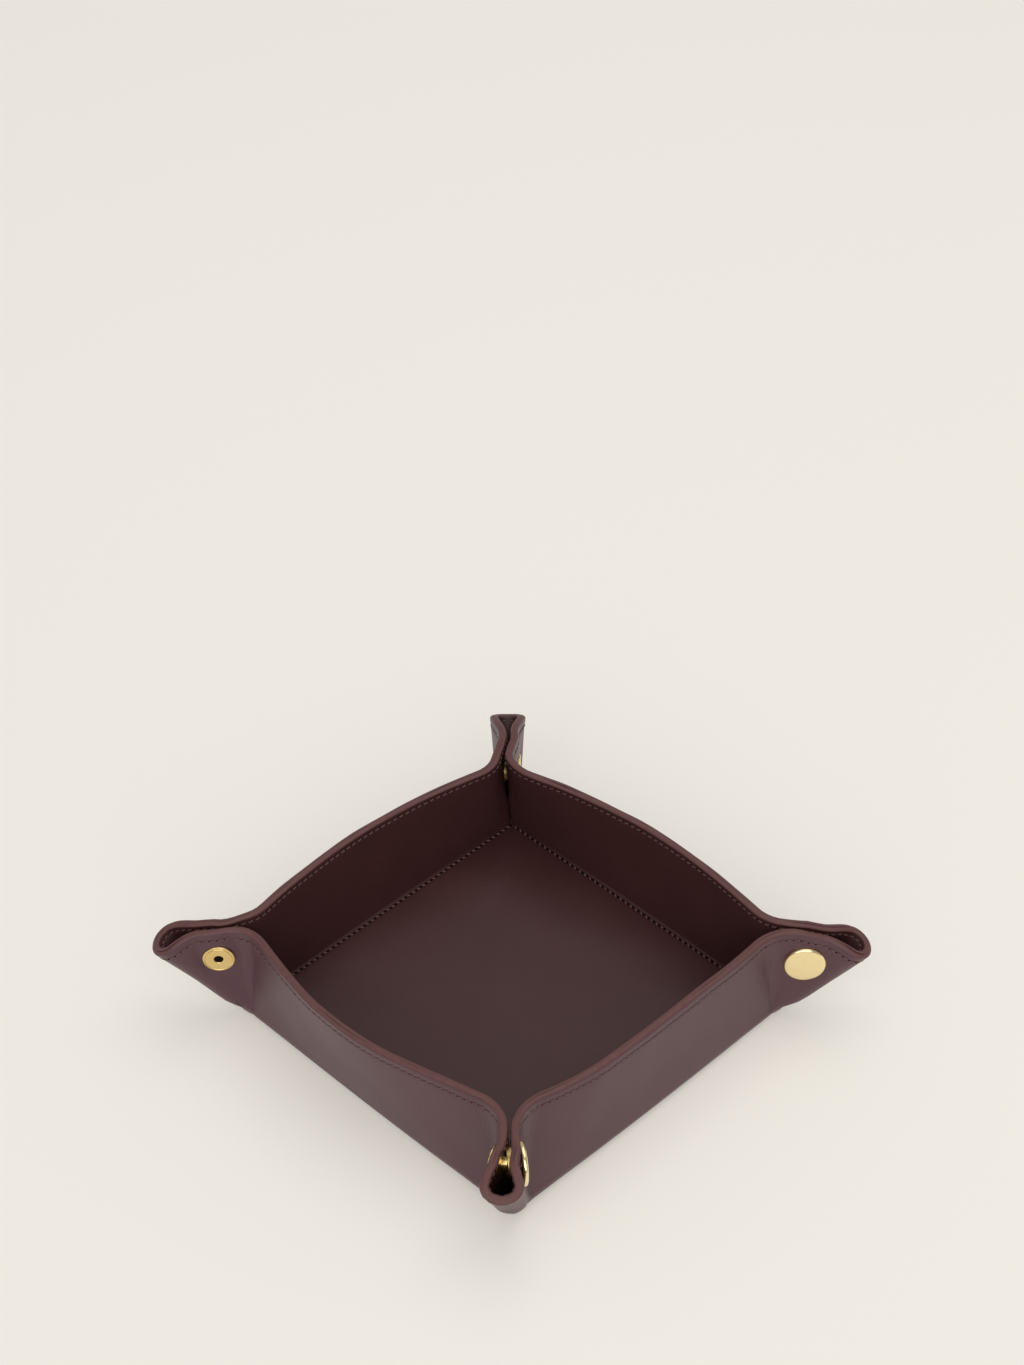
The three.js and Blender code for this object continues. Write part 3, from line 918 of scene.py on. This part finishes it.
def sewn_line(points, normals):
    """Stitches along a line of points: centre, direction, normal, length, tilt and radius of the hole."""
    steps = np.linalg.norm(np.diff(points, axis=0), axis=-1)
    along = np.concatenate([[0], np.cumsum(steps)])
    count = max(1, round(along[-1] / STITCH_PITCH))
    pitch = along[-1] / count
    made = []
    for i in range(count):
        s = (i + 0.5) * along[-1] / count
        j = min(int(np.searchsorted(along, s)) - 1, len(steps) - 1)
        k = (s - along[j]) / steps[j]
        centre = mix(points[j], points[j + 1], k)
        way = unit(points[j + 1] - points[j])
        normal = unit(mix(normals[j], normals[j + 1], k))
        made.append((centre, way, normal, pitch * STITCH_SHARE, STITCH_TILT, HOLE_R))
    return made


# Walls and ears. Each joint's bend has a start and an end, in the frame of the half wall at +X +Y.
FOLD_START = np.array([0.0, 61.2, 0.0])
FOLD_END = np.array([0.0, 65.4, 4.6])
CREASE_AT_Z = 24.0
CREASE_START = lining(DRAWN, NECK, 0.0, np.array([CREASE_AT_Z]))[0]
CREASE_END = lining(DRAWN, NECK, 1.0, np.array([CREASE_AT_Z]))[0]
ROLL_START = from_diagonal(106.0, 3.9, 22.0)
ROLL_END = from_diagonal(106.0, 0.1, 22.0)
# Stations between which the leather shows creases, and where they fade out towards the loop.
WORN_IN = (NECK_AT - 5, NECK_AT + 3)
WORN_OUT = (FLANK_AT, FLANK_AT + 8)


def bend(obj, side, body, high):
    """Bakes a piece's placing into its mesh; the start and end of its bend are worked out for its body but
    not used.
    """
    def place(point):
        return to_m(turn_z(point if high else mirrored(point), side.degrees))
    if body.startswith("wall"):
        place(FOLD_START)
        place(FOLD_END)
        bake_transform(obj)
    elif body.startswith("flank"):
        place(CREASE_START)
        place(CREASE_END)
        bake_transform(obj)
    else:
        place(ROLL_START)
        place(ROLL_END)
        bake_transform(obj)


for side in SIDES:
    grain = GRAIN_STEP * (1 + side.degrees / 90)
    cuts = {
        f"tip_{side.low}_{side.name}": (0, LAST - LOOP_AT),
        f"flank_{side.low}_{side.name}": (LAST - LOOP_AT, LAST - NECK_AT),
        f"wall_{side.name}": (LAST - NECK_AT, LAST + NECK_AT),
        f"flank_{side.high}_{side.name}": (LAST + NECK_AT, LAST + LOOP_AT),
        f"tip_{side.high}_{side.name}": (LAST + LOOP_AT, 2 * LAST),
    }
    from_middle = np.abs(np.arange(2 * LAST + 1) - LAST)
    worn = smooth(from_middle, *WORN_IN) * (1 - smooth(from_middle, *WORN_OUT))
    sewn = {body: [] for body in cuts}
    for layer in ("outer", "lining"):
        skin, normals = side_skin(layer, side)
        flat = flat_coordinates(skin)
        row = SEAM_ROW[layer]
        for body, (first, last) in cuts.items():
            part = slice(first, last + 1)
            piece = leather_piece(
                f"{body}_{layer}_leather", skin[part], normals[part], flat[part], worn[part], layer, grain
            )
            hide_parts(f"{body}_{layer}")
            bend(piece, side, body, last > LAST)
            sewn[body] += sewn_line(skin[part, row], normals[part, row])
    for body, (first, last) in cuts.items():
        thread = stitch_object(f"{body}_stitches", sewn[body])
        bend(thread, side, body, last > LAST)

# Base
PANEL_CELLS = 84
PANEL_CROWD = 1.7
CORNER_STEPS = 8


def floor_height(x, y):
    """The stiffened floor is slightly crowned, and its edge is drawn down into the sewn seam."""
    edge = FLOOR_HALF - max(abs(x), abs(y))
    drop = FLOOR_EDGE_DROP * math.exp(-((edge / FLOOR_EDGE_W) ** FLOOR_EDGE_POWER))
    drop += FLOOR_SAG * math.exp(-edge / FLOOR_SAG_W)
    drop += SEAM_SINK * math.exp(-(((edge - SEAM_IN) / SEAM_SINK_W) ** 2))
    wave = FLOOR_WAVE * float(ripple(np.array([[x, y, FLOOR_Z]]) * FLOOR_WAVE_SCALE)[0])
    return FLOOR_Z - drop + FLOOR_CROWN + wave * (1 - math.exp(-edge / FLOOR_WAVE_IN))


def floor_panel():
    """Lining of the floor: a grid whose lines crowd towards the edge, over a flat underside."""
    count, n = PANEL_CELLS, PANEL_CELLS + 1
    line = [
        math.copysign(FLOOR_HALF * (1 - (1 - abs(k)) ** PANEL_CROWD), k)
        for k in np.linspace(-1, 1, n)
    ]
    points = [(x, y, floor_height(x, y)) for x in line for y in line]
    faces = [
        (i * n + j, (i + 1) * n + j, (i + 1) * n + j + 1, i * n + j + 1)
        for i in range(count)
        for j in range(count)
    ]
    top = len(points)
    border = [i * n for i in range(n)] + [count * n + j for j in range(1, n)]
    border += [i * n + count for i in range(count - 1, -1, -1)] + list(range(count - 1, 0, -1))
    low = FLOOR_Z - LEATHER
    points += [(points[b][0] * FLOOR_UNDERCUT, points[b][1] * FLOOR_UNDERCUT, low) for b in border]
    m = len(border)
    for i in range(m):
        k = (i + 1) % m
        faces.append((border[k], border[i], top + i, top + k))
    faces.append(tuple(range(top, top + m))[::-1])
    return mesh_object("base_lining_leather", points, outward(points, faces), [LEATHERS["lining"]])


def rounded_square(half, radius):
    points = []
    for i in range(4):
        sx, sy = (1 if i in (0, 3) else -1), (1 if i < 2 else -1)
        for k in fractions(CORNER_STEPS):
            a = (i + k) * math.pi / 2
            x, y = sx * (half - radius), sy * (half - radius)
            points.append((x + radius * math.cos(a), y + radius * math.sin(a)))
    return points


def under_panel():
    """The plain middle of the underside, inside the leather that turns under from the walls."""
    profile = [(UNDER_Y - 0.9, 0.0), (UNDER_Y - 0.15, 0.12), (UNDER_Y - 0.05, LEATHER - 0.1)]
    rings = [[(x, y, z) for x, y in rounded_square(half, UNDER_ROUND)] for half, z in profile]
    points = [p for ring in rings for p in ring]
    faces = outward(points, tube_faces(len(rings), len(rings[0])))
    return mesh_object("base_outer_leather", points, faces, [LEATHERS["outer"]])


floor_leather = floor_panel()
write_level_flat(floor_leather, FLOOR_GRAIN)
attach(floor_leather, "base")
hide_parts("base_lining")

under = under_panel()
write_level_flat(under, UNDER_GRAIN)
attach(under, "base")
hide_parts("base_outer")

seam_half = FLOOR_HALF - SEAM_IN
seam_count = round(2 * seam_half / SEAM_PITCH)
seam_stitches = []
for side in SIDES:
    way = turn_z(np.array([1.0, 0.0, 0.0]), side.degrees)
    up = turn_z(unit(np.array([0.0, -SEAM_LEAN, 1.0])), side.degrees)
    for i in range(seam_count):
        x = mix(-seam_half + SEAM_END, seam_half - SEAM_END, (i + 0.5) / seam_count)
        centre = turn_z(np.array([x, seam_half, FLOOR_Z + SEAM_LIFT]), side.degrees)
        seam_stitches.append((centre, way, up, SEAM_PITCH * SEAM_SHARE, SEAM_TILT, SEAM_HOLE))
seam_thread = stitch_object("base_seam_stitches", seam_stitches)
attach(seam_thread, "base")

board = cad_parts["base_board"]
board.data.materials.clear()
board.data.materials.append(board_material())

# Press studs. A profile lists radius and height; cap and post start from where they sit in the leather.
CAP_R = CAP_D / 2
POST_R = POST_D / 2
SOCKET_R = CAP_D * 0.42
STUD_R = POST_D / 2 - GAP
SEATED = {"cap": WALL_T - CAP_SUNK, "post": WALL_T - POST_SUNK}
CAP_PROFILE = [
    (0, -0.1), (CAP_R - 0.35, -0.1), (CAP_R - 0.1, 0.06), (CAP_R, 0.35), (CAP_R, 0.75),
    (CAP_R - 0.07, 1.05), (CAP_R - 0.28, 1.34), (CAP_R - 0.65, 1.56), (CAP_R - 1.3, 1.72),
    (CAP_R - 2.4, 1.84), (CAP_R * 0.42, 1.93), (0, 1.98),
]
POST_PROFILE = [
    (0, -0.2), (POST_R - 0.2, -0.1), (POST_R, 0.1), (POST_R, 0.32), (POST_R - 0.12, 0.48),
    (POST_R - 0.4, 0.56), (POST_R - 0.62, 0.56), (POST_R - 0.72, 0.46), (POST_R - 0.9, 0.46),
    (POST_R - 1.0, 0.58), (2.1, 0.62), (1.75, 0.58), (1.55, 0.45), (1.5, 0.32), (0, 0.3),
]
SOCKET_PROFILE = [
    (KNOB_R + GAP, SEAT), (KNOB_R + GAP, SEAT - SOCKET_H), (SOCKET_R * 0.72, SEAT - SOCKET_H - 0.1),
    (SOCKET_R * 0.8, SEAT - SOCKET_H + 0.1), (SOCKET_R * 0.86, SEAT - 1.0), (SOCKET_R * 0.97, SEAT - 0.75),
    (SOCKET_R, SEAT - 0.5), (SOCKET_R, SEAT), (KNOB_R + GAP, SEAT),
]
STUD_PROFILE = [
    (0, -SEAT + 1.0), (KNOB_R * 0.75, -SEAT + 1.0), (KNOB_R, -SEAT + 1.5),
    (KNOB_R * 0.93, SEAT - FLANGE - 0.2), (STUD_R - 0.2, SEAT - FLANGE - 0.1),
    (STUD_R, SEAT - FLANGE + 0.15), (STUD_R, SEAT), (0, SEAT),
]
CAPPED_HALF = [("cap", CAP_PROFILE, GOLD, "cap_metal"), ("socket", SOCKET_PROFILE, BRASS, "stud_metal")]
STUD_HALF = [("stud", STUD_PROFILE, BRASS, "stud_metal"), ("post", POST_PROFILE, BRASS, "stud_metal")]
SEGMENTS = 72
SHARP = math.radians(38)
PROBE = 2.0


def turned(name, profile, material, place, bore):
    """A turned metal piece; place maps its own frame, with the height last, into the tray's."""
    points, faces, ring_at = [], [], []
    for r, h in profile:
        ring_at.append(len(points))
        if r == 0:
            points.append(place(0.0, 0.0, h))
            continue
        for i in range(SEGMENTS):
            a = 2 * math.pi * i / SEGMENTS
            points.append(place(r * math.cos(a), r * math.sin(a), h))
    for j in range(len(profile) - 1):
        a, b = ring_at[j], ring_at[j + 1]
        for i in range(SEGMENTS):
            k = (i + 1) % SEGMENTS
            if profile[j][0] == 0:
                faces.append((a, b + i, b + k))
            elif profile[j + 1][0] == 0:
                faces.append((a + i, a + k, b))
            else:
                faces.append((a + i, a + k, b + k, b + i))
    # The bottom of a bore is the last ring, too deep for light.
    kinds = [0] * (len(faces) - SEGMENTS) + [1 if bore else 0] * SEGMENTS
    obj = mesh_object(name, points, outward(points, faces), [material, HOLE_SHADE] if bore else [material], kinds)
    obj.data.set_sharp_from_angle(angle=SHARP)
    return obj


def snap_place(side, high, corner, kind):
    """Maps a press stud's own frame, with h square to the diagonal plane, into the settled ear."""
    def bare(u, v, z):
        point = from_diagonal(u, v, z)
        return turn_z(point if high else mirrored(point), side.degrees)
    shape = CORNERS[corner]
    u, z = SNAP_U + shape.stud_out, SNAP_Z + shape.stud_up
    lift = shape.half_gap + SEATED[kind] if kind in SEATED else 0.0
    middle = bare(u, 0.0, z)
    steps = np.eye(3) * PROBE
    slope = (settle(middle + steps) - settle(middle - steps)).T / (2 * PROBE)
    left, _, right = np.linalg.svd(slope)
    turned_by = left @ right
    centre = settle(middle)
    return lambda a, b, h: centre + turned_by @ (bare(u + a, h + lift + shape.opening * a, z + b) - middle)


for side in SIDES:
    for corner, high in ((side.low, False), (side.high, True)):
        for kind, profile, metal, slot in CAPPED_HALF if side.capped else STUD_HALF:
            place = snap_place(side, high, corner, kind)
            piece = turned(f"snap_{corner}_{kind}_turned", profile, metal, place, bore=kind == "post")
            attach(piece, f"flank_{corner}_{side.name}")
            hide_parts(f"snap_{corner}_{kind}")

# Studio, in metres
FLOOR_GLOW = 0.40
FLOOR_SIZE = 60
FLOOR_BELOW = 0.0002
WORLD_LIGHT = 0.38
AIM = (0, 0, 0)

bpy.ops.mesh.primitive_plane_add(size=FLOOR_SIZE, location=(0, 0, -FLOOR_BELOW))
ground = bpy.context.object
ground.name = "studio_floor"
ground.data.materials.append(floor_material())
ground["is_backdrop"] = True


def area_light(name, place, size, power, colour):
    data = bpy.data.lights.new(name, "AREA")
    data.shape = "RECTANGLE"
    data.size, data.size_y = size
    data.energy = power
    data.color = colour
    lamp = bpy.data.objects.new(name, data)
    lamp.location = place
    lamp.rotation_mode = "QUATERNION"
    lamp.rotation_quaternion = (Vector(AIM) - Vector(place)).to_track_quat("-Z", "Y")
    bpy.context.scene.collection.objects.link(lamp)


area_light("overhead", (0.5, 0.05, 1.6), size=(1.6, 1.6), power=9.0, colour=(1.0, 0.985, 0.96))
area_light("front_key", (-2.3, -2.0, 2.3), size=(4.0, 3.2), power=70, colour=(1.0, 0.99, 0.97))

world = bpy.data.worlds.new("studio")
bpy.context.scene.world = world
world.use_nodes = True
sky = world.node_tree.nodes["Background"]
sky.inputs["Color"].default_value = (1.0, 0.985, 0.965, 1)
sky.inputs["Strength"].default_value = WORLD_LIGHT

# The camera of the photo, fitted to the seam and the lower edges.
YAW, PITCH = math.radians(45.1), math.radians(40.72)
CAMERA_AT = (-0.5449, -0.5429, 0.8078)
SENSOR_MM = 36
LENS_MM = 86.4
forward = Vector((
    math.cos(PITCH) * math.sin(YAW),
    math.cos(PITCH) * math.cos(YAW),
    -math.sin(PITCH),
))
lens = bpy.data.cameras.new("camera")
lens.sensor_width = SENSOR_MM
lens.lens = LENS_MM
camera = bpy.data.objects.new("camera", lens)
camera.location = CAMERA_AT
camera.rotation_mode = "QUATERNION"
camera.rotation_quaternion = forward.to_track_quat("-Z", "Y")
bpy.context.scene.collection.objects.link(camera)
bpy.context.scene.camera = camera
bpy.context.scene.view_settings.view_transform = "Standard"

low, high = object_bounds()
{"cad": [list(cad_low), list(cad_high)], "visual": [list(low), list(high)]}
